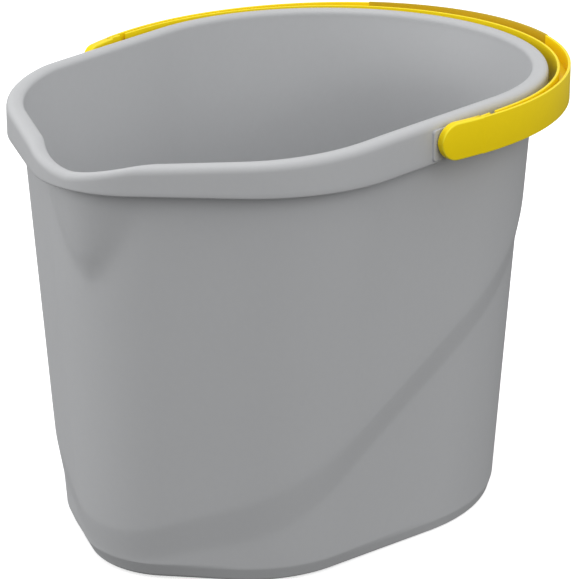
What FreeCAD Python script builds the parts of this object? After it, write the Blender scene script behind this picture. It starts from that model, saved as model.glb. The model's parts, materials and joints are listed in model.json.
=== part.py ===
"""Oblong cleaning bucket with a pouring spout and a swinging bail handle.

Millimetres. +Z is up, the spout faces -Y, and the bail pivots about the X direction.
The origin is on the underside, under the middle of the length of the rim.
The bail is modelled as stowed: level, folded back around the rear of the rim.
"""
import FreeCAD, Part
import math
import os

os.makedirs("parts", exist_ok=True)
V = FreeCAD.Vector

# Plan outlines. Each is three circles (centre x, centre y, radius) joined by tangent lines:
# one at the back, one at each front corner and one at the nose under the spout. RIM_PLAN is the
# skirt's outer face, WALL_PLAN the wall's outer face at rim height, BASE_PLAN the wall at the floor.
RIM_PLAN = ((0.0, 61.0, 142.0), (31.4, -52.6, 105.9), (0.0, -120.0, 68.4))
WALL_PLAN = ((0.0, 61.0, 134.0), (31.4, -52.6, 97.9), (0.0, -98.0, 78.0))
BASE_PLAN = ((0.0, 41.7, 123.0), (21.7, -48.2, 85.3), (0.0, -97.9, 56.9))

# Tub
HEIGHT = 285.6
WALL = 2.4
FLOOR = 3.2
STEP = 2.8
ABOVE_RIM = 20.0

# Rounded foot: how far each circle of the plan is set in, over what height, and the fullness of
# the rounding. The levels are the heights above the underside where its section is drawn.
FOOT_INSETS = (6.2, 10.1, 14.0)
FOOT_HEIGHTS = (8.1, 15.7, 23.2)
FOOT_POWER = 2.85
FOOT_LEVELS = (0.0, 0.5, 1.6, 4.0, 8.1, 14.0, 23.2)

# The step line on the walls rises from the front to the back: height = level + slope * y.
STEP_LEVEL = 118.0
STEP_SLOPE = 0.59
STEP_INSIDE_RISE = 5.0

# Rim: a flat top that falls towards the front and dips at the spout, as (y, z) corners.
RIM_PROFILE = ((240.0, HEIGHT), (-62.0, HEIGHT), (-166.0, 277.8), (-206.0, 261.0))
RIM_THICK = 2.6
SKIRT_BOTTOM = 259.6

# Spout: an oblique cone that bulges out of the front wall below the dip in the rim.
SPOUT_TIP = (200.0, -168.5, 3.0)
SPOUT_TOP = (HEIGHT + 4.0, -126.0, 56.5)

# Bail pivots: a flat boss on each side of the skirt, with a bore and a groove for the stop lug
PIVOT_Y = -4.5
PIVOT_Z = 273.1
BOSS_HALF_WIDTH = 13.0
BOSS_BOTTOM = 261.6
BOSS_TOP = 281.0
BOSS_ROOT_X = 136.0
BOSS_FACE_X = 140.4
BOSS_CORNER = 0.4
BORE_RADIUS = 3.88
STOP_TRACK = 6.0
STOP_GROOVE_RADIUS = 1.4
STOP_GROOVE_DEPTH = 2.4

# Bail. Each of its two upright walls follows a half ellipse and a leg on each side that bows in
# towards the pivot, a circular arc that carries on from the end of the ellipse. A path is written
# (semi axis in X, semi axis in Y, leg radius). A web ties the walls at mid height.
BAIL_HEIGHT = 23.2
BAIL_BOTTOM = PIVOT_Z - BAIL_HEIGHT / 2
BAIL_FRONT_Y = PIVOT_Y - BAIL_HEIGHT / 2
BAIL_CENTRE_Y = 50.8
OUTER_PATH = (155.7, 175.4, 241.0)
INNER_PATH = (150.4, 160.5, 1025.0)
OUTER_WALL = 1.8
INNER_WALL = 1.6
INNER_START_Y = 12.0
WEB = 2.0
WEB_OVERLAP = 0.5
WEB_START_Y = 14.0
PAD_THICK = 5.5
PAD_BACK_Y = 16.0
NOTCH_X = (148.0, 152.2)
NOTCH_Y = (26.0, 31.8)

# Pivot pegs on the bail
PEG_RADIUS = 3.8
PEG_END_X = 132.9
PEG_ROOT_X = 145.0
HEAD_OUTER_X = 135.5
HEAD_RADIUS = 5.6
HEAD_CHAMFER = 1.2
SLIT = 1.6
SLIT_END_X = 139.4
LUG_RADIUS = 1.1
LUG_END_X = 138.5

# Grip: a thin sleeve clipped over the outer wall in the middle of the bail
GRIP_SKIN = 0.8
GRIP_HALF_ANGLE = 26.0
GRIP_REACH = 260.0

# Tools that cut right through run this far, or this little, past what they cut.
FAR = 400.0
PAST = 1.0


def on_circle(circle, angle, z):
    """Point at an angle (radians) on a plan circle, at height z."""
    return V(circle[0] + circle[2] * math.cos(angle), circle[1] + circle[2] * math.sin(angle), z)


def tangent_angle(first, second):
    """Angle of the outward normal of the +X side line that touches two plan circles."""
    run = V(second[0] - first[0], second[1] - first[1], 0)
    lean = (first[2] - second[2]) / run.Length
    along = V(run).normalize()
    across = V(-along.y, along.x, 0)
    normal = along * lean + across * math.sqrt(1 - lean * lean)
    return math.atan2(normal.y, normal.x)


def outline(plan, z):
    """Closed wire of the plan at height z: ten edges, from the back, round +X, back along -X."""
    back_side = tangent_angle(plan[0], plan[1])
    side_nose = tangent_angle(plan[1], plan[2])
    spans = (
        (plan[0], math.pi / 2, back_side),
        (plan[1], back_side, side_nose),
        (plan[2], side_nose, -math.pi / 2),
    )
    right = []
    for circle, start, end in spans:
        points = [on_circle(circle, angle, z) for angle in (start, (start + end) / 2, end)]
        if right:
            right.append([right[-1][-1], points[0]])
        right.append(points)
    left = [[V(-p.x, p.y, p.z) for p in reversed(points)] for points in reversed(right)]
    edges = []
    for points in right + left:
        curve = Part.Arc(*points) if len(points) == 3 else Part.LineSegment(*points)
        edges.append(curve.toShape())
    return Part.Wire(edges)


def grown(plan, offset):
    """The plan moved outwards by an offset: the same centres with larger radii."""
    return tuple((x, y, r + offset) for x, y, r in plan)


def blended(low, high, part):
    """The plan part of the way from low to high."""
    return tuple(tuple(a + (b - a) * part for a, b in zip(c, d)) for c, d in zip(low, high))


def wall_plan(z, offset):
    """Plan of the upper wall's outer face at height z, moved outwards by an offset."""
    return blended(grown(BASE_PLAN, STEP + offset), grown(WALL_PLAN, offset), z / HEIGHT)


def wall_outline(z, offset):
    """Wire of the upper wall's outer face at height z, moved outwards by an offset."""
    return outline(wall_plan(z, offset), z)


def foot_inset(depth, tall, up):
    """How far a rounding of this depth and height is set in, at a height above its bottom."""
    short = 1 - min(up / tall, 1)
    return depth * (1 - (1 - short**FOOT_POWER) ** (1 / FOOT_POWER))


def foot_outlines(bottom, offset):
    """Wires up a rounded foot that starts at a bottom level, on the lower wall moved by an offset."""
    wires = []
    for up in FOOT_LEVELS:
        insets = [foot_inset(depth, tall, up) for depth, tall in zip(FOOT_INSETS, FOOT_HEIGHTS)]
        plan = wall_plan(bottom + up, offset - STEP)
        plan = tuple((x, y, r - inset) for (x, y, r), inset in zip(plan, insets))
        wires.append(outline(plan, bottom + up))
    return wires


def loft(wires):
    """Closed solid with straight sides between matching wires."""
    return Part.makeLoft(wires, True, True)


def slab(profile, bottom):
    """Solid under a (y, z) profile, right across the part in X."""
    points = [V(-FAR / 2, y, z) for y, z in profile]
    points += [V(-FAR / 2, profile[-1][0], bottom), V(-FAR / 2, profile[0][0], bottom)]
    face = Part.Face(Part.makePolygon(points + points[:1]))
    return face.extrude(V(FAR, 0, 0))


def below_rim(drop):
    """Everything lower than the rim's top less a drop."""
    return slab([(y, z - drop) for y, z in RIM_PROFILE], -HEIGHT)


def below_step(rise):
    """Everything lower than the step line plus a rise."""
    ends = (FAR / 2, -FAR / 2)
    return slab([(y, STEP_LEVEL + STEP_SLOPE * y + rise) for y in ends], -HEIGHT)


def body_solid():
    """Outer form of the walls: inset below the step line, with a rounded foot."""
    lower = loft(foot_outlines(0, 0) + [wall_outline(HEIGHT, -STEP)])
    upper = loft([wall_outline(0, 0), wall_outline(HEIGHT, 0)]).cut(below_step(0))
    return lower.fuse(upper)


def cavity_solid():
    """Inside of the walls, which follow the outside at an even thickness."""
    top = HEIGHT + ABOVE_RIM
    lower = loft(foot_outlines(FLOOR, -WALL) + [wall_outline(top, -STEP - WALL)])
    upper = loft([wall_outline(FLOOR, -WALL), wall_outline(top, -WALL)]).cut(below_step(STEP_INSIDE_RISE))
    return lower.fuse(upper)


def spout_solid(inset):
    """Oblique cone of the spout, made smaller all round by an inset."""
    rings = []
    for z, y, radius in (SPOUT_TIP, SPOUT_TOP):
        rings.append(Part.Wire(Part.makeCircle(radius - inset, V(0, y, z + inset))))
    return loft(rings)


def rim_cap():
    """Rim top with its hanging skirt, before the mouth is cut through it."""
    block = loft([outline(RIM_PLAN, SKIRT_BOTTOM), outline(RIM_PLAN, HEIGHT)])
    inside = grown(RIM_PLAN, -WALL)
    hollow = loft([outline(inside, SKIRT_BOTTOM - PAST), outline(inside, HEIGHT)])
    return block.cut(hollow.common(below_rim(RIM_THICK)))


def boss():
    """Pivot pad on the +X skirt."""
    width = 2 * BOSS_HALF_WIDTH
    size = (BOSS_FACE_X - BOSS_ROOT_X, width, BOSS_TOP - BOSS_BOTTOM)
    block = Part.makeBox(*size, V(BOSS_ROOT_X, PIVOT_Y - BOSS_HALF_WIDTH, BOSS_BOTTOM))
    middle_x = (BOSS_ROOT_X + BOSS_FACE_X) / 2
    face_edges = [edge for edge in block.Edges if edge.BoundBox.XMin > middle_x]
    return block.makeFillet(BOSS_CORNER, face_edges)


def disc(radius, x_from, x_to, y, z):
    """Cylinder along X between two positions."""
    return Part.makeCylinder(radius, x_to - x_from, V(x_from, y, z), V(1, 0, 0))


def stop_groove():
    """Half-circle groove with round ends, behind the pivot, in the boss's face."""
    x_from = BOSS_FACE_X - STOP_GROOVE_DEPTH
    x_to = BOSS_FACE_X + PAST
    ring = disc(STOP_TRACK + STOP_GROOVE_RADIUS, x_from, x_to, PIVOT_Y, PIVOT_Z)
    ring = ring.cut(disc(STOP_TRACK - STOP_GROOVE_RADIUS, x_from, x_to, PIVOT_Y, PIVOT_Z))
    reach = STOP_TRACK + STOP_GROOVE_RADIUS + PAST
    back = Part.makeBox(x_to - x_from, reach, 2 * reach, V(x_from, PIVOT_Y, PIVOT_Z - reach))
    groove = ring.common(back)
    for side in (-1, 1):
        end = disc(STOP_GROOVE_RADIUS, x_from, x_to, PIVOT_Y, PIVOT_Z + side * STOP_TRACK)
        groove = groove.fuse(end)
    return groove


def mirrored(shape):
    """The shape's twin on the other side of the middle plane."""
    return shape.mirror(V(0, 0, 0), V(1, 0, 0))


def tub():
    """The whole bucket: walls, floor, rim, skirt, spout and pivot bosses in one moulding."""
    shell = body_solid().fuse(spout_solid(0)).fuse(rim_cap())
    shell = shell.cut(cavity_solid()).cut(spout_solid(WALL))
    shell = shell.common(below_rim(0))
    bore = disc(BORE_RADIUS, BOSS_ROOT_X - PAST, BOSS_FACE_X + PAST, PIVOT_Y, PIVOT_Z)
    for side in (lambda shape: shape, mirrored):
        shell = shell.fuse(side(boss()))
        shell = shell.cut(side(bore)).cut(side(stop_groove()))
    return shell.removeSplitter()


def leg_x(path, y):
    """Where a path's +X leg stands at a y."""
    semi_x, _, radius = path
    return semi_x - radius + math.sqrt(radius**2 - (BAIL_CENTRE_Y - y) ** 2)


def half_path(path, start_y):
    """Edges of the +X half of a path, from a start on its leg round to the middle plane."""
    semi_x, semi_y, _ = path
    leg = [V(leg_x(path, y), y, 0) for y in (start_y, (start_y + BAIL_CENTRE_Y) / 2, BAIL_CENTRE_Y)]
    centre = V(0, BAIL_CENTRE_Y, 0)
    crown = Part.Ellipse(centre + V(0, semi_y, 0), centre + V(semi_x, 0, 0), centre)
    return [Part.Arc(*leg).toShape(), crown.toShape(0, math.pi / 2)]


def bail_band(outer, inner, start_y, z, height):
    """Upright band between two paths, from a start on the +X leg round to the -X leg."""
    half = half_path(outer, start_y) + half_path(inner, start_y)
    ends = [V(leg_x(path, start_y), start_y, 0) for path in (outer, inner)]
    half.append(Part.LineSegment(*ends).toShape())
    loop = Part.Wire(Part.__sortEdges__(half + [mirrored(edge) for edge in half]))
    face = Part.Face(loop)
    face.translate(V(0, 0, z))
    return face.extrude(V(0, 0, height))


def inside_of(path, offset):
    """A path moved towards the bucket by an offset."""
    return tuple(size - offset for size in path)


def outer_wall():
    """Outer wall of the bail, square at its front ends."""
    inner = inside_of(OUTER_PATH, OUTER_WALL)
    return bail_band(OUTER_PATH, inner, BAIL_FRONT_Y, BAIL_BOTTOM, BAIL_HEIGHT)


def inner_wall():
    """Inner wall of the bail, which starts inside the pads."""
    outer = inside_of(INNER_PATH, -INNER_WALL)
    return bail_band(outer, INNER_PATH, INNER_START_Y, BAIL_BOTTOM, BAIL_HEIGHT)


def web():
    """Web that ties the two walls at mid height."""
    outer = inside_of(OUTER_PATH, OUTER_WALL - WEB_OVERLAP)
    inner = inside_of(INNER_PATH, WEB_OVERLAP - INNER_WALL)
    return bail_band(outer, inner, WEB_START_Y, PIVOT_Z - WEB / 2, WEB)


def pads():
    """Solid pivot pads, square at their front ends: the outer wall made thicker."""
    inner = inside_of(OUTER_PATH, PAD_THICK)
    band = bail_band(OUTER_PATH, inner, BAIL_FRONT_Y, BAIL_BOTTOM, BAIL_HEIGHT)
    corner = V(-FAR / 2, BAIL_FRONT_Y - PAST, BAIL_BOTTOM - PAST)
    size = (FAR, PAD_BACK_Y - BAIL_FRONT_Y + PAST, BAIL_HEIGHT + 2 * PAST)
    return band.common(Part.makeBox(*size, corner))


def round_ends():
    """Room that the handle may fill: everything behind the pivot and a round end before it."""
    end = disc(BAIL_HEIGHT / 2, -FAR / 2, FAR / 2, PIVOT_Y, PIVOT_Z)
    behind = Part.makeBox(FAR, FAR, BAIL_HEIGHT, V(-FAR / 2, PIVOT_Y, BAIL_BOTTOM))
    return end.fuse(behind)


def peg():
    """Split snap peg with a head, and the stop lug beside it, at the +X end of the bail."""
    shank = disc(PEG_RADIUS, PEG_END_X, PEG_ROOT_X, PIVOT_Y, PIVOT_Z)
    head = disc(HEAD_RADIUS, PEG_END_X, HEAD_OUTER_X, PIVOT_Y, PIVOT_Z)
    middle_x = (PEG_END_X + HEAD_OUTER_X) / 2
    head = head.makeChamfer(HEAD_CHAMFER, [edge for edge in head.Edges if edge.BoundBox.XMax < middle_x])
    slit_size = (SLIT_END_X - PEG_END_X + PAST, 2 * (HEAD_RADIUS + PAST), SLIT)
    slit_corner = V(PEG_END_X - PAST, PIVOT_Y - HEAD_RADIUS - PAST, PIVOT_Z - SLIT / 2)
    split = shank.fuse(head).cut(Part.makeBox(*slit_size, slit_corner))
    lug = disc(LUG_RADIUS, LUG_END_X, PEG_ROOT_X, PIVOT_Y, PIVOT_Z - STOP_TRACK)
    return split.fuse(lug)


def notch():
    """Gap right through the height of the +X leg's inner wall."""
    size = (NOTCH_X[1] - NOTCH_X[0], NOTCH_Y[1] - NOTCH_Y[0], BAIL_HEIGHT + 2 * PAST)
    return Part.makeBox(*size, V(NOTCH_X[0], NOTCH_Y[0], BAIL_BOTTOM - PAST))


def bail():
    """The whole handle in one moulding, with a peg at each end."""
    frame = outer_wall().fuse(pads()).common(round_ends())
    frame = frame.fuse(inner_wall()).fuse(web())
    for side in (lambda shape: shape, mirrored):
        frame = frame.fuse(side(peg())).cut(side(notch()))
    return frame.removeSplitter()


def grip():
    """Sleeve round the outer wall, open where the web passes, in the middle of the bail."""
    bottom = BAIL_BOTTOM - GRIP_SKIN
    height = BAIL_HEIGHT + 2 * GRIP_SKIN
    inner = inside_of(OUTER_PATH, OUTER_WALL + GRIP_SKIN)
    skin = bail_band(inside_of(OUTER_PATH, -GRIP_SKIN), inner, BAIL_CENTRE_Y - PAST, bottom, height)
    reach = GRIP_REACH * math.tan(math.radians(GRIP_HALF_ANGLE))
    centre = V(0, BAIL_CENTRE_Y, bottom)
    corners = [centre, centre + V(reach, GRIP_REACH, 0), centre + V(-reach, GRIP_REACH, 0), centre]
    wedge = Part.Face(Part.makePolygon(corners)).extrude(V(0, 0, height))
    return skin.common(wedge).cut(outer_wall()).cut(web())


NODES = {"tub": tub, "bail_handle": bail, "bail_grip": grip}

for name, make in NODES.items():
    shape = make()
    print(name, "solids", len(shape.Solids), "valid", shape.isValid(), "volume", round(shape.Volume))
    shape.exportStep("parts/" + name + ".step")
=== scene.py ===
"""Looks of an oblong cleaning bucket with a pouring spout and a swinging bail handle.

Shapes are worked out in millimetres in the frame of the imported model: +Z up, the spout faces -Y and
the bail pivots about X. Every mesh is a grid of rows and columns computed with numpy, and is turned
into metres when it is built.
"""
import json
import logging
import math
from dataclasses import dataclass
from enum import Enum
from functools import cache
from typing import ClassVar

import bpy
import numpy as np
from mathutils import Matrix, Vector


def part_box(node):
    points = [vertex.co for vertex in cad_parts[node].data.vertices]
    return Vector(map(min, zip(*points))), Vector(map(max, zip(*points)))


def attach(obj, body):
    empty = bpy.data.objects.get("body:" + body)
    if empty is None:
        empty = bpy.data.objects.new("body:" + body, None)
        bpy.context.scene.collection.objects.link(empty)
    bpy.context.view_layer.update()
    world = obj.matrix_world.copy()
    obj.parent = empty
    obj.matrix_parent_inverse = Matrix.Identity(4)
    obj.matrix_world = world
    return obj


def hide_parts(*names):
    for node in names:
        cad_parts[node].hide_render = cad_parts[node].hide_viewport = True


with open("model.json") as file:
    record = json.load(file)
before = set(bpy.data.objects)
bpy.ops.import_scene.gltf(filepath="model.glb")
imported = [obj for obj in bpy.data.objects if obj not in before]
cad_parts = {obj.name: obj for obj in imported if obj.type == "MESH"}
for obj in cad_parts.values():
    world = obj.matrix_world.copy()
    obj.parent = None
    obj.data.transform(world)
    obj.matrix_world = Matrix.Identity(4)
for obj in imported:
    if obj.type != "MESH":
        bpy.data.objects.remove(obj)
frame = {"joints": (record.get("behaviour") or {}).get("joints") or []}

logging.basicConfig(level=logging.INFO, format="%(name)s: %(message)s")
log = logging.getLogger("bucket")

METRES = 0.001
TINY = 1e-6
Array = np.ndarray


class Slot(Enum):
    """The record's material slots."""

    TUB = "tub_plastic"
    HANDLE = "handle_plastic"
    GRIP = "grip_plastic"


class Close(Enum):
    """How one end of a grid of rows is shut."""

    POLE = "pole"
    OPEN = "open"


def smooth_step(x: Array) -> Array:
    """Zero below 0, one above 1, and a cubic ease between."""
    t = np.clip(x, 0.0, 1.0)
    return t * t * (3.0 - 2.0 * t)


def soft_clamp(x: Array, blur: float) -> Array:
    """x clamped to 0..1 with both corners rounded: half of 1 + |x| - |x - 1|, each modulus softened."""
    return 0.5 * (1.0 + np.sqrt(x * x + blur * blur) - np.sqrt((x - 1.0) ** 2 + blur * blur))


# ---------------- Meshes ----------------


class GridMesh:
    """Collects closed grids of points, in millimetres, and builds one mesh object from them."""

    def __init__(self, name: str) -> None:
        """Starts an empty mesh.

        Args:
            name: the object's name.
        """
        self.name = name
        self._points: list[Array] = []
        self._faces: list[Array] = []
        self._marks: list[Array] = []
        self._count = 0

    def add(self, rows: Array, first: Close, last: Close, mark: Array | None = None) -> None:
        """Adds a tube of rings, joined ring to ring and round each ring.

        Args:
            rows: points, shaped (rings, points round a ring, 3). Seen from the last ring's end,
                the rings run clockwise, so that faces look outwards.
            first: how the first ring is shut. A pole is the middle of the ring.
            last: how the last ring is shut. Two open ends are joined to each other.
            mark: the share of painted edge light at every point, 0 to 1, kept as the attribute "edge".
        """
        rings, round_count = rows.shape[:2]
        if mark is None:
            mark = np.zeros((rings, round_count))
        index = np.arange(rings * round_count).reshape(rings, round_count) + self._count
        after = np.roll(index, -1, axis=1)
        quads = np.stack([index[:-1], index[1:], after[1:], after[:-1]], axis=-1).reshape(-1, 4)
        self._faces.append(quads)
        points = [rows.reshape(-1, 3)]
        marks = [mark.reshape(-1)]
        self._count += rings * round_count
        if first is Close.POLE:
            points.append(rows[0].mean(axis=0)[None])
            marks.append(np.zeros(1))
            self._faces.append(self._fan(index[0], after[0]))
            self._count += 1
        if last is Close.POLE:
            points.append(rows[-1].mean(axis=0)[None])
            marks.append(np.zeros(1))
            self._faces.append(self._fan(after[-1], index[-1]))
            self._count += 1
        if first is Close.OPEN and last is Close.OPEN:
            seam = np.stack([index[-1], index[0], after[0], after[-1]], axis=-1)
            self._faces.append(seam)
        self._points.append(np.concatenate(points))
        self._marks.append(np.concatenate(marks))

    def _fan(self, start: Array, end: Array) -> Array:
        """Triangles from the next free point to each side of a ring.

        Args:
            start: the index of each side's first point.
            end: the index of its second point.

        Returns:
            Triangles shaped (sides, 3).
        """
        pole = np.full(start.shape, self._count)
        return np.stack([pole, start, end], axis=-1)

    def build(self, smooth_angle: float = 40.0) -> bpy.types.Object:
        """Makes the object, at the origin, with its place in its mesh.

        Args:
            smooth_angle: edges sharper than this, in degrees, stay crisp.

        Returns:
            The new object, linked to the scene.
        """
        mesh = bpy.data.meshes.new(self.name)
        points = np.concatenate(self._points) * METRES
        faces = [face.tolist() for face in self._faces]
        mesh.from_pydata(points.tolist(), [], [face for group in faces for face in group])
        mesh.validate()
        mesh.polygons.foreach_set("use_smooth", np.ones(len(mesh.polygons), dtype=bool))
        edge = mesh.attributes.new("edge", "FLOAT", "POINT")
        edge.data.foreach_set("value", np.concatenate(self._marks).astype(np.float32))
        mesh.set_sharp_from_angle(angle=math.radians(smooth_angle))
        mesh.update()
        item = bpy.data.objects.new(self.name, mesh)
        bpy.context.scene.collection.objects.link(item)
        return item


# ---------------- Plan outlines ----------------


@dataclass(frozen=True)
class Plan:
    """A plan outline: three circles (centre x, centre y, radius) joined by tangent lines.

    The back circle and the nose circle lie on the middle plane, and the corner circle has a twin
    on the other side.
    """

    back: tuple[float, float, float]
    corner: tuple[float, float, float]
    nose: tuple[float, float, float]

    def circles(self) -> Array:
        """The three circles as a (3, 3) array."""
        return np.array([self.back, self.corner, self.nose])

    def grown(self, by: float) -> "Plan":
        """The same plan moved outwards."""
        return Plan(*[(x, y, radius + by) for x, y, radius in (self.back, self.corner, self.nose)])


@dataclass(frozen=True)
class Track:
    """Where the columns of a shell stand round a plan: a span number and a fraction of it.

    Spans on the +X side: 0 back arc, 1 side line, 2 corner arc, 3 front line, 4 nose arc.
    """

    counts: tuple[int, int, int, int, int] = (56, 22, 36, 22, 44)

    def columns(self) -> tuple[Array, Array, Array]:
        """Span, fraction and side of each column, once round from the middle of the back.

        Returns:
            The span numbers, the fractions, and 1 or -1 for the side.
        """
        span = np.concatenate([np.full(n, i) for i, n in enumerate(self.counts)])
        part = np.concatenate([np.arange(n) / n for n in self.counts])
        span_half = np.append(span, 4)
        part_half = np.append(part, 1.0)
        side = np.ones(len(span_half))
        back_again = slice(-2, 0, -1)
        return (
            np.concatenate([span_half, span_half[back_again]]),
            np.concatenate([part_half, part_half[back_again]]),
            np.concatenate([side, -side[back_again]]),
        )


def touching_angle(first: Array, second: Array) -> Array:
    """Angle of the outward normal of the line that touches two circles on their +X side.

    The normal leans from square to the line of centres by the arcsine of the difference of the
    radii over the distance.

    Args:
        first: circles nearer the back, shaped (..., 3).
        second: circles nearer the nose, shaped (..., 3).

    Returns:
        The angle in radians, one for each pair.
    """
    run_x = second[..., 0] - first[..., 0]
    run_y = second[..., 1] - first[..., 1]
    lean = np.arcsin((first[..., 2] - second[..., 2]) / np.hypot(run_x, run_y))
    return np.arctan2(run_y, run_x) + math.pi / 2 - lean


def outline(
    low: Plan, high: Plan, share: Array, offset: Array, track: Track, inset: Array | float = 0.0
) -> Array:
    """Points round a plan blended between two levels and moved outwards.

    On an arc a point is centre + (radius + offset) * (cos, sin) of an angle between the two
    tangent angles, and on a line it runs from one tangent point to the next.

    Args:
        low: the plan at share 0.
        high: the plan at share 1.
        share: how far each point is from low to high, shaped (rows, columns).
        offset: how far each point is moved outwards, of the same shape.
        track: the columns.
        inset: how much smaller each of the three circles is, shaped (rows, columns, 3).

    Returns:
        Plan positions shaped (rows, columns, 2).
    """
    span, part, side = track.columns()
    share, offset = np.broadcast_arrays(share, offset)
    circles = low.circles() + share[..., None, None] * (high.circles() - low.circles())
    circles[..., 2] -= inset
    back, corner, nose = circles[..., 0, :], circles[..., 1, :], circles[..., 2, :]
    side_angle = touching_angle(back, corner)
    front_angle = touching_angle(corner, nose)
    top_angle = np.full(share.shape, math.pi / 2)
    starts = (top_angle, side_angle, side_angle, front_angle, front_angle)
    ends = (side_angle, side_angle, front_angle, front_angle, -top_angle)
    froms = (back, back, corner, corner, nose)
    tos = (back, corner, corner, nose, nose)
    place = np.zeros(share.shape + (2,))
    for number, (start, end, near, far) in enumerate(zip(starts, ends, froms, tos)):
        here = span == number
        along = part[here]
        angle = start[:, here] + (end - start)[:, here] * along
        facing = np.stack([np.cos(angle), np.sin(angle)], axis=-1)
        circle = near[:, here] + (far - near)[:, here] * along[:, None]
        reach = circle[..., 2] + offset[:, here]
        place[:, here] = circle[..., :2] + reach[..., None] * facing
    return place * np.stack([side, np.ones_like(side)], axis=-1)


# ---------------- Finishes ----------------


SPECK_SCALE = 260.0
SPECK_SHADE = 0.03
ROUGHNESS_SPREAD = 0.12
EDGE_POLISH = 0.06
BUMP_STRENGTH = 0.35
# How much of the painted edge light the skirt's edge, the rim's crest and the bail's corners take.
SKIRT_HIGHLIGHT = 0.35
RIM_HIGHLIGHT = 0.25
BAIL_EDGE_LIGHT = 0.8


def group_socket(group: bpy.types.NodeTree, name: str, way: str, kind: str) -> None:
    """Adds a named socket to a node group.

    Args:
        group: the node group.
        name: the socket's name.
        way: "INPUT" or "OUTPUT".
        kind: the socket type, without its prefix.
    """
    group.interface.new_socket(name=name, in_out=way, socket_type=f"NodeSocket{kind}")


class NodeWriter:
    """Adds and links nodes in a tree, left to right."""

    def __init__(self, tree: bpy.types.NodeTree) -> None:
        """Keeps the tree that is written to."""
        self.tree = tree

    def node(self, kind: str, **settings: object) -> bpy.types.Node:
        """A new node with its settings.

        Args:
            kind: the node's type.
            settings: its attributes by name.

        Returns:
            The node.
        """
        made = self.tree.nodes.new(kind)
        for name, value in settings.items():
            setattr(made, name, value)
        return made

    def link(self, source: bpy.types.NodeSocket, target: bpy.types.NodeSocket) -> None:
        """Joins two sockets."""
        self.tree.links.new(source, target)

    def math(self, operation: str, *values: object) -> bpy.types.NodeSocket:
        """A Math node's result.

        Args:
            operation: what the node does.
            values: its inputs, each a number or a socket.

        Returns:
            The result's socket.
        """
        made = self.node("ShaderNodeMath", operation=operation)
        for slot, value in zip(made.inputs, values):
            if isinstance(value, (int, float)):
                slot.default_value = value
            else:
                self.link(value, slot)
        return made.outputs[0]

    def noise(self, place: bpy.types.NodeSocket, scale: object, detail: float) -> bpy.types.NodeSocket:
        """A 3-D noise value at a place.

        Args:
            place: the socket that gives the place.
            scale: the noise's scale, a number or a socket.
            detail: how many finer layers it has.

        Returns:
            The value's socket.
        """
        made = self.node("ShaderNodeTexNoise", noise_dimensions="3D")
        made.inputs["Detail"].default_value = detail
        self.link(place, made.inputs["Vector"])
        if isinstance(scale, (int, float)):
            made.inputs["Scale"].default_value = scale
        else:
            self.link(scale, made.inputs["Scale"])
        return made.outputs["Fac"]


@cache
def moulded_skin() -> bpy.types.NodeTree:
    """Shared effect: the skin of an injection moulding.

    Fine spark-eroded grain, slow flow mottling of the colour, and corners that are smoother and take
    the edge colour where the attribute "edge" is high: painted light on rounded edges, a highlight
    where the edge colour is lighter and shade where it is darker.

    Returns:
        The node group, with outputs Colour, Roughness and Height.
    """
    group = bpy.data.node_groups.new("moulded_skin", "ShaderNodeTree")
    for name in ("Colour", "Edge Light Colour"):
        group_socket(group, name, "INPUT", "Color")
    for name in ("Mottle", "Mottle Scale", "Grain Scale", "Roughness"):
        group_socket(group, name, "INPUT", "Float")
    group_socket(group, "Colour", "OUTPUT", "Color")
    for name in ("Roughness", "Height"):
        group_socket(group, name, "OUTPUT", "Float")
    w = NodeWriter(group)
    given = w.node("NodeGroupInput")
    place = w.node("ShaderNodeTexCoord").outputs["Object"]
    flow = w.noise(place, given.outputs["Mottle Scale"], 3.0)
    grain = w.noise(place, given.outputs["Grain Scale"], 2.0)
    speck = w.noise(place, SPECK_SCALE, 1.0)
    edge = w.node("ShaderNodeAttribute", attribute_name="edge").outputs["Fac"]

    swing = w.math("SUBTRACT", flow, 0.5)
    shade = w.math("MULTIPLY", swing, given.outputs["Mottle"])
    shade = w.math("ADD", 1.0, w.math("MULTIPLY", shade, 2.0))
    shade = w.math("ADD", shade, w.math("MULTIPLY", w.math("SUBTRACT", speck, 0.5), SPECK_SHADE))
    tinted = w.node("ShaderNodeVectorMath", operation="SCALE")
    w.link(given.outputs["Colour"], tinted.inputs[0])
    w.link(shade, tinted.inputs["Scale"])
    # Painted edge light: the edge colour is mixed in where the attribute "edge" is high.
    edge_lit = w.node("ShaderNodeMix", data_type="RGBA")
    w.link(edge, edge_lit.inputs["Factor"])
    w.link(tinted.outputs[0], edge_lit.inputs["A"])
    w.link(given.outputs["Edge Light Colour"], edge_lit.inputs["B"])

    rough = w.math("ADD", given.outputs["Roughness"], w.math("MULTIPLY", swing, ROUGHNESS_SPREAD))
    rough = w.math("SUBTRACT", rough, w.math("MULTIPLY", edge, EDGE_POLISH))
    result = w.node("NodeGroupOutput")
    w.link(edge_lit.outputs["Result"], result.inputs["Colour"])
    w.link(rough, result.inputs["Roughness"])
    w.link(grain, result.inputs["Height"])
    return group


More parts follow.
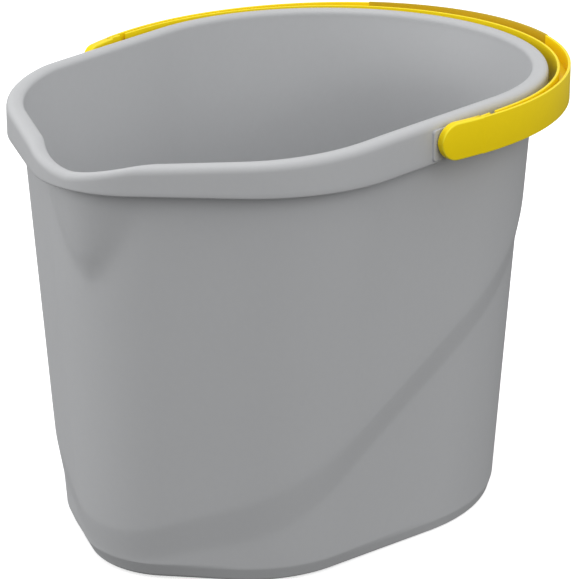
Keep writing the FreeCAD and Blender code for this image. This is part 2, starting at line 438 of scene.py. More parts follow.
@dataclass(frozen=True)
class MouldedPlastic:
    """Finish of a moulded plastic part."""

    slot: Slot
    colour: tuple[float, float, float]
    # Colour of the painted edge light: lighter for a painted highlight, darker for painted shade.
    edge_light_colour: tuple[float, float, float]
    roughness: float
    mottle: float
    mottle_scale: float
    grain_scale: float
    grain_depth: float
    specular: float

    @cache
    def material(self) -> bpy.types.Material:
        """The material, made once for each finish.

        Returns:
            A Principled material fed by the moulded skin group.
        """
        made = bpy.data.materials.new(self.slot.value)
        made.use_nodes = True
        tree = made.node_tree
        tree.nodes.clear()
        w = NodeWriter(tree)
        skin = w.node("ShaderNodeGroup")
        skin.node_tree = moulded_skin()
        skin.inputs["Colour"].default_value = (*self.colour, 1.0)
        skin.inputs["Edge Light Colour"].default_value = (*self.edge_light_colour, 1.0)
        skin.inputs["Mottle"].default_value = self.mottle
        skin.inputs["Mottle Scale"].default_value = self.mottle_scale
        skin.inputs["Grain Scale"].default_value = self.grain_scale
        skin.inputs["Roughness"].default_value = self.roughness
        bump = w.node("ShaderNodeBump")
        bump.inputs["Strength"].default_value = BUMP_STRENGTH
        bump.inputs["Distance"].default_value = self.grain_depth * METRES
        w.link(skin.outputs["Height"], bump.inputs["Height"])
        shader = w.node("ShaderNodeBsdfPrincipled")
        shader.inputs["Specular IOR Level"].default_value = self.specular
        w.link(skin.outputs["Colour"], shader.inputs["Base Color"])
        w.link(skin.outputs["Roughness"], shader.inputs["Roughness"])
        w.link(bump.outputs["Normal"], shader.inputs["Normal"])
        result = w.node("ShaderNodeOutputMaterial")
        w.link(shader.outputs["BSDF"], result.inputs["Surface"])
        return made

    def dress(self, item: bpy.types.Object) -> None:
        """Gives an object this finish alone."""
        item.data.materials.clear()
        item.data.materials.append(self.material())


GREY = MouldedPlastic(
    slot=Slot.TUB,
    colour=(0.490, 0.497, 0.508),
    # Lighter: painted highlight on the rim's crest and the skirt's lower edge.
    edge_light_colour=(0.55, 0.555, 0.565),
    roughness=0.50,
    mottle=0.03,
    mottle_scale=7.0,
    grain_scale=1500.0,
    grain_depth=0.06,
    specular=0.4,
)
YELLOW = MouldedPlastic(
    slot=Slot.HANDLE,
    colour=(0.93, 0.695, 0.006),
    # Lighter: painted highlight on the bail's rounded corners.
    edge_light_colour=(0.98, 0.84, 0.04),
    roughness=0.42,
    mottle=0.03,
    mottle_scale=14.0,
    grain_scale=1800.0,
    grain_depth=0.04,
    specular=0.12,
)
DARK_YELLOW = MouldedPlastic(
    slot=Slot.GRIP,
    colour=(0.56, 0.38, 0.002),
    # Darker: painted shade on the sleeve's rounded corners.
    edge_light_colour=(0.44, 0.30, 0.003),
    roughness=0.62,
    mottle=0.05,
    mottle_scale=20.0,
    grain_scale=900.0,
    grain_depth=0.12,
    specular=0.3,
)


# ---------------- The tub ----------------


@dataclass
class Tub:
    """The grey moulding: walls with a step line, rounded foot, rim, hanging skirt and spout.

    Lengths are in millimetres. Names ending in _power and _blur, the facet's levels and the shares
    are plain ratios.
    """

    height: float
    rim_plan: Plan = Plan((0.0, 61.0, 142.0), (31.4, -52.6, 105.9), (0.0, -120.0, 68.4))
    wall_plan: Plan = Plan((0.0, 61.0, 134.0), (31.4, -52.6, 97.9), (0.0, -98.0, 78.0))
    base_plan: Plan = Plan((0.0, 41.7, 123.0), (21.7, -48.2, 85.3), (0.0, -97.9, 56.9))
    track: Track = Track()
    wall: float = 2.4
    floor: float = 3.2
    step: float = 2.8
    step_blur: float = 0.12
    step_level: float = 125.5
    step_slope: float = 0.575
    band: float = 20.0
    band_swell: float = 8.0
    band_swell_y: float = -100.0
    band_swell_length: float = 45.0
    foot_insets: tuple[float, float, float] = (6.2, 10.1, 14.0)
    foot_heights: tuple[float, float, float] = (8.1, 15.7, 23.2)
    foot_power: float = 2.85
    facet_low: float = 0.16
    facet_tops: tuple[float, float, float] = (1.0, 0.68, 0.54)
    rim_round: float = 5.0
    rim_fullness: tuple[float, float] = (2.3, 3.4)
    rim_thick: float = 2.6
    skirt_bottom: float = 259.6
    skirt_edge: float = 1.1
    front_fall: float = 7.8
    front_from: float = -62.0
    front_length: float = 104.0
    front_blur: float = 0.06
    dip: float = 8.3
    dip_half_width: float = 36.0
    dip_power: float = 1.35
    dip_blur: float = 0.16
    dip_from: float = -100.0
    dip_ease: float = 30.0
    spout_tip: float = 202.0
    spout_depth: float = 9.5
    spout_half_width: float = 54.0
    spout_taper_power: float = 0.55
    spout_flank_power: float = 1.8
    spout_from: float = -60.0
    spout_ease: float = 40.0
    under_shares: tuple[float, ...] = (0.04, 0.3, 0.6, 0.82, 0.94, 0.985)
    floor_shares: tuple[float, ...] = (0.97, 0.9, 0.7, 0.4, 0.05)

    def step_top(self, y: Array) -> Array:
        """Height of the upper edge of the step at a y: a straight rise towards the back."""
        return self.step_level + self.step_slope * y

    def step_width(self, y: Array) -> Array:
        """Height of the sloping band under the step's upper edge, widest beside the spout."""
        swell = np.exp(-(((y - self.band_swell_y) / self.band_swell_length) ** 2))
        return self.band + self.band_swell * swell

    def foot(self, z: Array) -> Array:
        """Insets of the plan's three circles in the foot at height z.

        The lowest part is a quarter superellipse. Above it a straight facet runs up to the wall.

        Args:
            z: heights above the foot's lowest level, shaped (rows, columns).

        Returns:
            Insets shaped (rows, columns, 3).
        """
        level = np.clip(z[..., None] / np.array(self.foot_heights), 0.0, 1.0)
        low, top = self.facet_low, np.array(self.facet_tops)
        facet = self.foot_curve(np.array(low)) * np.clip((top - level) / (top - low), 0.0, 1.0)
        return np.array(self.foot_insets) * np.where(level < low, self.foot_curve(level), facet)

    def foot_curve(self, level: Array) -> Array:
        """Inset of a quarter superellipse, 1 at level 0 and 0 at level 1."""
        return 1.0 - (1.0 - (1.0 - level) ** self.foot_power) ** (1.0 / self.foot_power)

    def spout_bulge(self, x: Array, y: Array, z: Array) -> Array:
        """How far the spout's tongue stands out of the wall.

        Across, it is a parabola raised to a power, so that its flanks run out softly. Its width
        and depth grow with powers of the height above its tip.

        Args:
            x: positions across, all three of one shape.
            y: positions along.
            z: heights.

        Returns:
            The bulge at each point.
        """
        up = np.clip((z - self.spout_tip) / (self.height - self.spout_tip), TINY, None)
        half = self.spout_half_width * up**self.spout_taper_power
        across = np.clip(1.0 - (x / half) ** 2, 0.0, 1.0) ** self.spout_flank_power
        front = smooth_step((self.spout_from - y) / self.spout_ease)
        return self.spout_depth * np.sqrt(up) * smooth_step(20.0 * up) * across * front

    def wall_points(self, z: Array, inset: float) -> Array:
        """Points of the wall at heights z.

        The plan is blended between base and rim, moved in below the step line, at the foot and by
        an inset, and moved out at the spout. The inside has no step: from the line up it eases
        from the lower wall to the upper one.

        Args:
            z: heights above the underside, shaped (rows, columns).
            inset: 0 for the outer face, the wall's thickness for the inner face.

        Returns:
            Points shaped (rows, columns, 3).
        """
        share = z / self.height
        base_upper = self.base_plan.grown(self.step)
        place = outline(base_upper, self.wall_plan, share, np.zeros_like(z), self.track)
        x, y = place[..., 0], place[..., 1]
        edge = self.step_top(y)
        if inset:
            below = 1.0 - smooth_step((z - edge) / (self.height - edge))
        else:
            below = soft_clamp((edge - z) / self.step_width(y), self.step_blur)
        foot = self.foot(z - (self.floor if inset else 0.0))
        offset = -self.step * below - inset + self.spout_bulge(x, y, z)
        place = outline(base_upper, self.wall_plan, share, offset, self.track, foot)
        return np.dstack([place, z])

    def step_line(self) -> tuple[Array, Array]:
        """Heights of the upper and lower edges of the step for each column.

        The step's height depends on y, and y on the height, so it is found by repetition.

        Returns:
            The upper and the lower edge, one value for each column.
        """
        columns = len(self.track.columns()[0])
        z = np.full((1, columns), 0.4 * self.height)
        none = np.zeros_like(z)
        for _ in range(6):
            place = outline(self.base_plan, self.wall_plan, z / self.height, none, self.track)
            z = self.step_top(place[..., 1])
        width = self.step_width(place[..., 1])
        return z[0], (z - width)[0]

    def wall_rows(self, start: Array, end: Array, inset: float) -> Array:
        """Rows of the wall from its foot to the rim, following the step line.

        Args:
            start: height of the first row for each column.
            end: height of the last row for each column.
            inset: distance in from the outer face.

        Returns:
            Points shaped (rows, columns, 3), bottom row first.
        """
        upper, lower = self.step_line()
        width = upper - lower
        foot_top = np.minimum(start + max(self.foot_heights), start + 0.8 * (lower - start))
        foot_rows = np.linspace(0.0, 1.0, 36)[:, None] ** 2.2
        plain_rows = np.linspace(0.0, 1.0, 9)[1:, None]
        corner_rows = np.array([-0.12, -0.05, 0.0, 0.06, 0.14])[:, None]
        middle_rows = np.linspace(0.3, 0.7, 3)[:, None]
        band_rows = np.concatenate([corner_rows, middle_rows, 1.0 - corner_rows[::-1]])
        high_rows = np.linspace(0.0, 1.0, 30)[1:, None]
        margin = 0.2 * width
        plain_top = np.maximum(lower - margin, foot_top + 1.0)
        high_from = upper + margin
        heights = np.concatenate([
            start + (foot_top - start) * foot_rows,
            foot_top + (plain_top - foot_top) * plain_rows,
            lower + width * band_rows,
            high_from + (end - high_from) * high_rows,
        ])
        return self.wall_points(np.maximum.accumulate(heights, axis=0), inset)

    def rim_top(self, x: Array, y: Array) -> Array:
        """Height of the rim's crest: level, then falling to the front, with a dip at the spout.

        Args:
            x: positions across.
            y: positions along, of the same shape.

        Returns:
            The height at each point.
        """
        fall = (self.front_from - y) / self.front_length
        lowered = self.front_fall * soft_clamp(fall, self.front_blur)
        across = soft_clamp(np.abs(x) / self.dip_half_width, self.dip_blur)
        at_front = smooth_step((self.dip_from - y) / self.dip_ease)
        return self.height - lowered - self.dip * (1.0 - across**self.dip_power) * at_front

    def shell_rows(self) -> tuple[Array, Array]:
        """The whole skin of the tub as rings, from under the base, out and up, over the rim and down.

        Returns:
            Points shaped (rings, columns, 3), and each point's share of the painted edge highlight.
        """
        columns = len(self.track.columns()[0])
        one = np.ones((1, columns))
        crest = outline(self.rim_plan, self.rim_plan, 0 * one, -self.rim_round * one, self.track)
        top = self.rim_top(crest[..., 0], crest[..., 1])[0]

        foot = self.wall_points(0 * one, 0.0)
        under = foot * np.array(self.under_shares)[:, None, None]
        outer = self.wall_rows(np.zeros(columns), top - self.rim_thick, 0.0)
        skirt = self.skirt_rows(top)
        inner = self.wall_rows(np.full(columns, self.floor), top - self.rim_round, self.wall)
        rim = self.rim_rows(top, skirt[-1], inner[-1])
        centre = np.array([0.0, 0.0, self.floor])
        inside = centre + (inner[0] - centre) * np.array(self.floor_shares)[:, None, None]
        rows = np.concatenate([under, outer, skirt, rim, inner[::-1], inside])

        mark = np.zeros(rows.shape[:2])
        skirt_from = len(under) + len(outer)
        rim_from = skirt_from + len(skirt)
        # Painted highlight: the skirt's lower edge and the outer half of the rim take the lighter edge
        # colour.
        mark[skirt_from + 1 : skirt_from + 8] = SKIRT_HIGHLIGHT
        mark[rim_from : rim_from + len(rim) - len(rim) // 2] = RIM_HIGHLIGHT
        return rows, mark

    def skirt_rows(self, top: Array) -> Array:
        """Rings from under the rim, down inside the skirt, round its lower edge and up its face.

        Args:
            top: height of the rim's crest for each column.

        Returns:
            Points shaped (rings, columns, 3).
        """
        turn = np.linspace(-math.pi / 2, math.pi / 2, 7)
        edge_out = -self.wall / 2 + (self.wall / 2) * np.sin(turn)
        edge_z = self.skirt_bottom + self.skirt_edge * (1.0 - np.cos(turn))
        under_rim = top - self.rim_thick
        halfway = self.skirt_bottom + 0.5 * (under_rim - self.skirt_bottom)
        face_share = np.linspace(0.0, 1.0, 7)[1:, None]
        face_from = self.skirt_bottom + self.skirt_edge
        face_z = face_from + (top - self.rim_round - face_from) * face_share
        z = np.concatenate([[under_rim, halfway], edge_z[:, None] + 0 * top, face_z])
        offsets = np.concatenate([[-self.wall, -self.wall], edge_out, np.zeros(len(face_share))])
        offset = np.repeat(offsets[:, None], len(top), axis=1)
        place = outline(self.rim_plan, self.rim_plan, np.zeros_like(z), offset, self.track)
        return np.dstack([place, z])

    def rim_rows(self, top: Array, outside: Array, inside: Array) -> Array:
        """Rings over the rim: a superellipse arch from the skirt's face to the inner wall.

        Args:
            top: height of the rim's crest for each column.
            outside: the skirt's last ring.
            inside: the inner wall's top ring.

        Returns:
            Points shaped (rings, columns, 3).
        """
        turn = np.linspace(0.0, math.pi, 22)[1:-1]
        power = 2.0 / np.interp(turn, [0.0, math.pi], self.rim_fullness)
        across = 0.5 - 0.5 * np.sign(np.cos(turn)) * np.abs(np.cos(turn)) ** power
        lift = np.sin(turn) ** power
        rows = outside + (inside - outside) * across[:, None, None]
        rows[..., 2] = top - self.rim_round + self.rim_round * lift[:, None]
        return rows

    def build(self) -> bpy.types.Object:
        """Makes the tub, dresses it and lets it stand for the CAD tub.

        Returns:
            The tub's object.
        """
        grid = GridMesh("tub_shell")
        rows, mark = self.shell_rows()
        grid.add(rows, Close.POLE, Close.POLE, mark)
        item = grid.build()
        GREY.dress(item)
        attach(item, "tub")
        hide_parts("tub")
        return item


@dataclass
class PivotBosses:
    """The two raised pads on the skirt that carry the bail, each with its bore."""

    pivot_y: float
    pivot_z: float
    half_width: float = 12.5
    bottom: float = 261.6
    top: float = 281.0
    root_x: float = 137.2
    face_x: float = 140.4
    edge: float = 0.5
    bore: float = 3.88
    groove: tuple[float, float] = (4.6, 7.4)
    groove_depth: float = 2.4
    groove_half_angle: float = 104.0
    groove_draft: float = 0.05
    bore_chamfer: float = 0.3
    squareness: float = 12.0

    def rim_at(self, angle: Array, shrink: float) -> Array:
        """Distance from the pivot to the pad's rounded rectangle in a direction.

        The rectangle is a superellipse of high power about its own middle, and the distance is
        scaled to it by repetition.

        Args:
            angle: direction in the YZ plane, from +Y towards +Z.
            shrink: how far the rectangle is set in.

        Returns:
            The distance for each angle.
        """
        half_y = self.half_width - shrink
        half_z = 0.5 * (self.top - self.bottom) - shrink
        middle_z = 0.5 * (self.top + self.bottom) - self.pivot_z
        reach = np.full(angle.shape, self.half_width)
        for _ in range(40):
            y = reach * np.cos(angle)
            z = reach * np.sin(angle) - middle_z
            power = self.squareness
            size = (np.abs(y / half_y) ** power + np.abs(z / half_z) ** power) ** (1 / power)
            reach = reach / np.maximum(size, TINY) ** 0.6
        return reach

    def one(self, grid: GridMesh, side: int) -> None:
        """Adds one pad, a ring-shaped solid round its bore.

        Args:
            grid: the mesh that the pad joins.
            side: 1 for the +X pad, -1 for the -X pad.
        """
        angle = np.linspace(0.0, 2.0 * math.pi, 144, endpoint=False)
        at_groove = np.cos(angle) > math.cos(math.radians(self.groove_half_angle))
        rings: list[tuple[Array, Array]] = []

        def ring(radius: Array | float, x: Array | float) -> None:
            """Keeps a ring of a radius at a distance along X."""
            rings.append((np.broadcast_to(radius, angle.shape), np.broadcast_to(x, angle.shape)))

        ring(self.rim_at(angle, 0.0), self.root_x)
        for turn in np.linspace(0.0, math.pi / 2, 6):
            inset = self.edge * (1.0 - math.cos(turn))
            ring(self.rim_at(angle, inset), self.face_x - self.edge * (1.0 - math.sin(turn)))
        inner, outer = self.groove
        sunk = np.where(at_groove, self.face_x - self.groove_depth, self.face_x)
        outer_rim = np.minimum(outer, self.rim_at(angle, self.edge) - 0.2)
        ring(outer_rim, self.face_x)
        ring(outer_rim - self.groove_draft, sunk)
        ring(inner + self.groove_draft, sunk)
        ring(inner, self.face_x)
        ring(self.bore + self.bore_chamfer, self.face_x)
        ring(self.bore, self.face_x - self.bore_chamfer)
        ring(self.bore, self.root_x)
        radius, x = (np.stack(values) for values in zip(*rings))
        y = self.pivot_y + radius * np.cos(angle)
        z = self.pivot_z + radius * np.sin(angle)
        rows = np.stack([side * x, y, z], axis=-1)
        if side < 0:
            rows = rows[:, ::-1]
        grid.add(rows[:, ::-1], Close.OPEN, Close.OPEN)

    def build(self) -> bpy.types.Object:
        """Makes both pads, dressed and riding on the tub.

        Returns:
            The pads' object.
        """
        grid = GridMesh("pivot_bosses")
        self.one(grid, 1)
        self.one(grid, -1)
        item = grid.build()
        GREY.dress(item)
        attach(item, "tub")
        return item


# ---------------- The bail ----------------


CORNER_POINTS = 5
NARROW = 0.45


@dataclass(frozen=True)
class BailPath:
    """One long line of the bail in plan: a leg that bows in, a half ellipse, and the other leg.

    The place along the path is a number from 0 at the +X end to 1 at the -X end, so two paths can
    be paired.
    """

    semi_x: float
    semi_y: float
    leg_radius: float
    centre_y: float
    front_y: float

    LEG: ClassVar[float] = 0.16

    def points(self, t: Array) -> Array:
        """Plan positions at places t.

        Leg: a circular arc that meets the ellipse without a corner. Crown:
        (semi_x cos a, centre_y + semi_y sin a).

        Args:
            t: places, 0 to 1.

        Returns:
            Positions shaped (len(t), 2).
        """
        side = np.where(t <= 0.5, 1.0, -1.0)
        u = np.minimum(t, 1.0 - t)
        leg_y = self.front_y + (self.centre_y - self.front_y) * np.clip(u / self.LEG, 0.0, 1.0)
        bow = np.sqrt(self.leg_radius**2 - (self.centre_y - leg_y) ** 2)
        leg_x = self.semi_x - self.leg_radius + bow
        angle = np.clip((u - self.LEG) / (0.5 - self.LEG), 0.0, 1.0) * math.pi / 2
        crown = u > self.LEG
        x = np.where(crown, self.semi_x * np.cos(angle), leg_x)
        y = np.where(crown, self.centre_y + self.semi_y * np.sin(angle), leg_y)
        return np.stack([side * x, y], axis=-1)

    def normals(self, t: Array) -> Array:
        """Outward unit normals at places t, from the slope between neighbouring places.

        Args:
            t: places, 0 to 1.

        Returns:
            Normals shaped (len(t), 2).
        """
        gap = 1e-4
        ahead = self.points(np.clip(t + gap, 0.0, 1.0)) - self.points(np.clip(t - gap, 0.0, 1.0))
        across = np.stack([ahead[:, 1], -ahead[:, 0]], axis=-1)
        return across / np.linalg.norm(across, axis=1, keepdims=True)

    def place_of_y(self, y: float | Array) -> float | Array:
        """The place on the +X leg that has this y."""
        return self.LEG * (y - self.front_y) / (self.centre_y - self.front_y)


def rounded_loop(
    out: Array, into: Array, low: Array, high: Array, radius: Array
) -> tuple[Array, Array]:
    """Rounded rectangles in a section: across the wall and up it.

    Each corner is a quarter circle, and a straight side joins one corner to the next.

    Args:
        out: the outer edge's position across, one for each section.
        into: the inner edge's position across.
        low: the lower edge's height.
        high: the upper edge's height.
        radius: the corner radius.

    Returns:
        Positions across and heights, each shaped (sections, points).
    """
    across, up = [], []
    corners = ((out, high, 1, 1), (into, high, -1, 1), (into, low, -1, -1), (out, low, 1, -1))
    for number, (edge, level, way_x, way_z) in enumerate(corners):
        for angle in (number + np.linspace(0.0, 1.0, CORNER_POINTS)) * math.pi / 2:
            across.append(edge - way_x * radius + radius * math.cos(angle))
            up.append(level - way_z * radius + radius * math.sin(angle))
    return np.stack(across, axis=1), np.stack(up, axis=1)


@dataclass
class BailHandle:
    """The yellow moulding: two thin walls tied by a web, solid pads and snap pegs at the ends."""

    pivot_y: float
    pivot_z: float
    half_height: float = 11.6
    outer_line: tuple[float, float, float] = (155.7, 175.4, 241.0)
    inner_line: tuple[float, float, float] = (149.8, 160.5, 1025.0)
    centre_y: float = 50.8
    outer_wall: float = 1.8
    inner_wall: float = 1.6
    web: float = 2.0
    pad_thick: float = 5.5
    pad_back_y: float = 16.0
    inner_start_y: float = 12.0
    web_start_y: float = 14.0
    notch: tuple[float, float] = (26.0, 31.8)
    edge: float = 0.55
    end_edge: float = 0.35
    pad_edge: float = 1.1
    pad_root: float = 0.5
    peg_radius: float = 3.8
    peg_root_x: float = 145.0
    peg_end_x: float = 132.9
    head_outer_x: float = 135.5
    head_radius: float = 5.6
    head_edge: float = 0.2
    head_chamfer: float = 1.2

    def path(self, line: tuple[float, float, float], offset: float = 0.0) -> BailPath:
        """A path of the bail, moved outwards by an offset."""
        sizes = [size + offset for size in line]
        return BailPath(*sizes, self.centre_y, self.pivot_y - self.half_height)

    def sweep(self, grid: GridMesh, path: BailPath, t: Array, loop: tuple[Array, Array]) -> None:
        """Carries section loops along a path and adds the closed band, its rounded corners given the
        painted edge light.

        Args:
            grid: the mesh that the band joins.
            path: the line in plan that the sections are measured from.
            t: the places along it, one for each section.
            loop: the sections, positions across and heights.
        """
        across, up = loop
        place, normal = path.points(t), path.normals(t)
        flat = place[:, None, :] + across[..., None] * normal[:, None, :]
        rows = np.dstack([flat, self.pivot_z + up])
        # Painted edge light on the rounded corners of each section: a highlight on the bail, shade on
        # the grip sleeve.
        corner = np.arange(up.shape[1]) % CORNER_POINTS
        lit_corner = (corner > 0) & (corner < CORNER_POINTS - 1)
        mark = np.broadcast_to(np.where(lit_corner, BAIL_EDGE_LIGHT, 0.0), up.shape)
        grid.add(rows, Close.POLE, Close.POLE, mark)

    def both_ways(self, half: Array) -> Array:
        """Places from the +X end to the middle, carried on as their mirror image to the -X end."""
        return np.concatenate([half, 1.0 - half[-2::-1]])

    def outer_band(self, grid: GridMesh) -> None:
        """The outer wall, which thickens into the solid pads and ends in their half-round tips.

        Args:
            grid: the mesh that the wall joins.
        """
        path = self.path(self.outer_line)
        radius = self.half_height
        tip = radius * (1.0 - np.cos(np.linspace(0.0, math.pi / 2, 20)))
        tip = np.concatenate([[0.0, 0.03, 0.12], tip[1:]])
        pad_places = path.place_of_y(path.front_y + tip)
        back = path.place_of_y(self.pad_back_y)
        step = path.place_of_y(self.pad_back_y + self.pad_root)
        between = np.linspace(pad_places[-1], back, 6)[1:]
        leg = np.linspace(step, BailPath.LEG, 16)
        crown = np.linspace(BailPath.LEG, 0.5, 110)[1:]
        t = self.both_ways(np.concatenate([pad_places, between, leg, crown]))
        u = np.minimum(t, 1.0 - t)
        from_tip = np.minimum(u / BailPath.LEG, 1.0) * (path.centre_y - path.front_y)
        drop = np.clip(1.0 - from_tip / radius, 0.0, 1.0)
        tall = np.maximum(radius * np.sqrt(np.maximum(0.0, 1.0 - drop * drop)), 0.02)
        on_pad = u <= back + TINY
        thick = np.where(on_pad, self.pad_thick, self.outer_wall)
        limit = np.where(on_pad, self.pad_edge, self.edge)
        shy = np.clip(1.0 - from_tip / self.pad_edge, 0.0, 1.0)
        outside = 0.9 * self.pad_edge * (1.0 - np.sqrt(1.0 - shy * shy))
        inside = 0.15 * outside
        corner = np.minimum(limit, NARROW * tall)
        corner = np.minimum(corner, NARROW * (thick - outside - inside))
        self.sweep(grid, path, t, rounded_loop(-outside, inside - thick, -tall, tall, corner))

    def inner_band(self, grid: GridMesh, t_from: float, t_to: float, count: int) -> None:
        """A length of the inner wall with square, slightly rounded ends.

        Args:
            grid: the mesh that the length joins.
            t_from: the place where it starts.
            t_to: the place where it ends.
            count: how many sections it has between its ends.
        """
        path = self.path(self.inner_line, self.inner_wall)
        gap = self.end_edge * (path.place_of_y(1.0) - path.place_of_y(0.0))
        middle = np.linspace(t_from + 3 * gap, t_to - 3 * gap, count)
        t = np.concatenate([[t_from, t_from + gap], middle, [t_to - gap, t_to]])
        shy = np.zeros(len(t))
        shy[[0, -1]] = self.end_edge
        tall = self.half_height - shy
        corner = self.edge - 0.5 * shy
        self.sweep(grid, path, t, rounded_loop(-shy, shy - self.inner_wall, -tall, tall, corner))

    def web_band(self, grid: GridMesh) -> None:
        """The web, a flat strip from inside one wall to inside the other.

        Args:
            grid: the mesh that the web joins.
        """
        outer = self.path(self.outer_line, -0.5 * self.outer_wall)
        inner = self.path(self.inner_line, 0.5 * self.inner_wall)
        start = outer.place_of_y(self.web_start_y)
        leg = np.linspace(start, BailPath.LEG, 14)
        crown = np.linspace(BailPath.LEG, 0.5, 90)[1:]
        t = self.both_ways(np.concatenate([leg, crown]))
        out, into = outer.points(t), inner.points(t)
        level = 0.5 * self.web
        corners = [(out, level), (into, level), (into, -level), (out, -level)]
        rows = np.stack(
            [np.column_stack([flat, np.full(len(t), self.pivot_z + z)]) for flat, z in corners], axis=1
        )
        grid.add(rows, Close.POLE, Close.POLE)

    def peg(self, grid: GridMesh, side: int) -> None:
        """A pivot peg with its snap head, turned from a profile of distance along X and radius.

        Args:
            grid: the mesh that the peg joins.
            side: 1 for the +X peg, -1 for the -X peg.
        """
        middle = 0.2
        profile = np.array([
            (self.peg_root_x, middle),
            (self.peg_root_x, self.peg_radius),
            (self.head_outer_x, self.peg_radius),
            (self.head_outer_x, self.head_radius - self.head_edge),
            (self.head_outer_x - self.head_edge, self.head_radius),
            (self.peg_end_x + self.head_chamfer, self.head_radius),
            (self.peg_end_x, self.head_radius - self.head_chamfer),
            (self.peg_end_x, middle),
        ])
        angle = np.linspace(0.0, 2.0 * math.pi, 48, endpoint=False)
        x = np.repeat(profile[:, :1], len(angle), axis=1)
        y = self.pivot_y + profile[:, 1:] * np.cos(angle)
        z = self.pivot_z + profile[:, 1:] * np.sin(angle)
        rows = np.stack([side * x, y, z], axis=-1)
        if side < 0:
            rows = rows[:, ::-1]
        grid.add(rows, Close.POLE, Close.POLE)

    def build(self) -> bpy.types.Object:
        """Makes the handle, dresses it and lets it stand for the CAD handle.

        Returns:
            The handle's object.
        """
        grid = GridMesh("bail_moulding")
        self.outer_band(grid)
        path = self.path(self.inner_line)
        inside_pad = path.place_of_y(self.inner_start_y)
        notch_from, notch_to = (path.place_of_y(y) for y in self.notch)
        self.inner_band(grid, inside_pad, notch_from, 8)
        self.inner_band(grid, notch_to, 1.0 - notch_to, 220)
        self.inner_band(grid, 1.0 - notch_from, 1.0 - inside_pad, 8)
        self.web_band(grid)
        self.peg(grid, 1)
        self.peg(grid, -1)
        item = grid.build()
        YELLOW.dress(item)
        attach(item, "bail")
        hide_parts("bail_handle")
        return item


@dataclass
class BailGrip:
    """The darker sleeve round the outer wall in the middle of the bail."""

    bail: BailHandle
    skin: float = 0.35
    half_angle: float = 26.0
    edge: float = 0.7
    end_edge: float = 0.3

    def build(self) -> bpy.types.Object:
        """Makes the sleeve as a band a little thicker and taller than the wall it holds.

        Returns:
            The sleeve's object.
        """
        path = self.bail.path(self.bail.outer_line, self.skin)
        slope = math.tan(math.radians(self.half_angle))
        reach = math.atan2(self.bail.outer_line[0], self.bail.outer_line[1] * slope)
        share = BailPath.LEG + (0.5 - BailPath.LEG) * reach / (math.pi / 2)
        gap = 0.0004
        end = [share, share + gap]
        t = self.bail.both_ways(np.concatenate([end, np.linspace(share + 3 * gap, 0.5, 60)]))
        shy = np.zeros(len(t))
        shy[[0, -1]] = self.end_edge
        thick = self.bail.outer_wall + 2.0 * self.skin
        tall = self.bail.half_height + self.skin - shy
        corner = self.edge - 0.5 * shy
        grid = GridMesh("bail_grip_sleeve")
        self.bail.sweep(grid, path, t, rounded_loop(-shy, shy - thick, -tall, tall, corner))
        item = grid.build()
        DARK_YELLOW.dress(item)
        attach(item, "bail")
        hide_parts("bail_grip")
        return item


# ---------------- Studio ----------------


@dataclass(frozen=True)
class SoftLight:
    """A square area light that faces the middle of the bucket, in metres and watts."""

    name: str
    place: tuple[float, float, float]
    size: float
    power: float

    TARGET: ClassVar[tuple[float, float, float]] = (0.0, 0.0, 0.15)

    def build(self) -> None:
        """Adds the light."""
        data = bpy.data.lights.new(self.name, "AREA")
        data.shape = "SQUARE"
        data.size = self.size
        data.energy = self.power
        item = bpy.data.objects.new(self.name, data)
        item.location = self.place
        facing = Vector(self.TARGET) - Vector(self.place)
        item.rotation_euler = facing.to_track_quat("-Z", "Y").to_euler()
        bpy.context.scene.collection.objects.link(item)


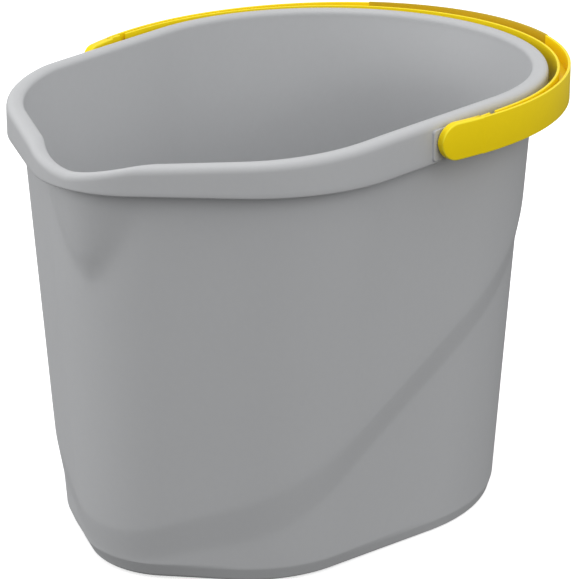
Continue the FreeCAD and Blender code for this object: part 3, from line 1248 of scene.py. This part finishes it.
@dataclass
class Studio:
    """Pale floor, soft light and the camera, in metres."""

    camera_place: tuple[float, float, float] = (0.9983, -1.2294, 0.7219)
    azimuth: float = 38.44
    elevation: float = 19.79
    lens: float = 161.67
    shift: tuple[float, float] = (-0.0131, -0.0195)
    floor_size: float = 12.0
    floor_grey: float = 0.80
    floor_glow: float = 0.60
    surround: tuple[float, float] = (0.126, 0.87)
    horizon_blend: float = 0.3
    lights: tuple[SoftLight, ...] = (
        SoftLight("top_light", (0.1, 0.2, 2.3), size=1.8, power=6.3),
        SoftLight("left_light", (-1.7, -1.3, 0.75), size=1.4, power=19.5),
        SoftLight("right_light", (1.9, -0.6, 1.3), size=1.4, power=10.5),
    )

    def floor(self) -> bpy.types.Object:
        """A plain pale floor, unseen by diffuse and glossy rays.

        Returns:
            The floor's object.
        """
        corners = np.array([(-1, -1, 0), (1, -1, 0), (1, 1, 0), (-1, 1, 0)]) * self.floor_size / 2
        mesh = bpy.data.meshes.new("studio_floor")
        mesh.from_pydata(corners.tolist(), [], [(0, 1, 2, 3)])
        item = bpy.data.objects.new("studio_floor", mesh)
        bpy.context.scene.collection.objects.link(item)
        paint = bpy.data.materials.new("studio_white")
        paint.use_nodes = True
        shader = paint.node_tree.nodes["Principled BSDF"]
        shader.inputs["Base Color"].default_value = (*[self.floor_grey] * 3, 1.0)
        shader.inputs["Roughness"].default_value = 0.9
        shader.inputs["Specular IOR Level"].default_value = 0.1
        shader.inputs["Emission Color"].default_value = (1.0, 1.0, 1.0, 1.0)
        shader.inputs["Emission Strength"].default_value = self.floor_glow
        mesh.materials.append(paint)
        item.visible_diffuse = False
        item.visible_glossy = False
        return item

    def world(self) -> None:
        """A white surround that is brighter above the horizon than below it."""
        scene = bpy.context.scene
        scene.world = bpy.data.worlds.new("studio_surround")
        scene.world.use_nodes = True
        tree = scene.world.node_tree
        w = NodeWriter(tree)
        apart = w.node("ShaderNodeSeparateXYZ")
        w.link(w.node("ShaderNodeTexCoord").outputs["Generated"], apart.inputs[0])
        level = w.node("ShaderNodeMapRange")
        w.link(apart.outputs["Z"], level.inputs["Value"])
        level.inputs["From Min"].default_value = -self.horizon_blend
        level.inputs["From Max"].default_value = self.horizon_blend
        level.inputs["To Min"].default_value = self.surround[0]
        level.inputs["To Max"].default_value = self.surround[1]
        back = tree.nodes["Background"]
        back.inputs["Color"].default_value = (1.0, 1.0, 1.0, 1.0)
        w.link(level.outputs["Result"], back.inputs["Strength"])
        scene.view_settings.view_transform = "Standard"

    def camera(self) -> None:
        """The camera, level across, looking down at the bucket's right front."""
        data = bpy.data.cameras.new("camera")
        data.lens = self.lens
        data.sensor_width = 36.0
        data.shift_x, data.shift_y = self.shift
        data.clip_end = 50.0
        item = bpy.data.objects.new("camera", data)
        turn = Matrix.Rotation(math.radians(self.azimuth), 4, "Z")
        tilt = Matrix.Rotation(math.radians(90.0 - self.elevation), 4, "X")
        item.matrix_world = Matrix.Translation(self.camera_place) @ turn @ tilt
        bpy.context.scene.collection.objects.link(item)
        bpy.context.scene.camera = item

    def build(self) -> None:
        """Sets up the floor, surround, lights and camera."""
        self.floor()
        self.world()
        for light in self.lights:
            light.build()
        self.camera()


def main() -> None:
    """Builds every piece in order."""
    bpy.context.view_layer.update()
    pivot = [value / METRES for value in frame["joints"][0]["pos_m"]]
    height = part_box("tub")[1].z / METRES
    bail = BailHandle(pivot_y=pivot[1], pivot_z=pivot[2])
    builders = {
        "tub": Tub(height=height),
        "pivot bosses": PivotBosses(pivot_y=pivot[1], pivot_z=pivot[2]),
        "bail handle": bail,
        "bail grip": BailGrip(bail),
    }
    for name, builder in builders.items():
        item = builder.build()
        log.info("%s: %d faces", name, len(item.data.polygons))
    Studio().build()


if __name__ == "__main__":
    main()
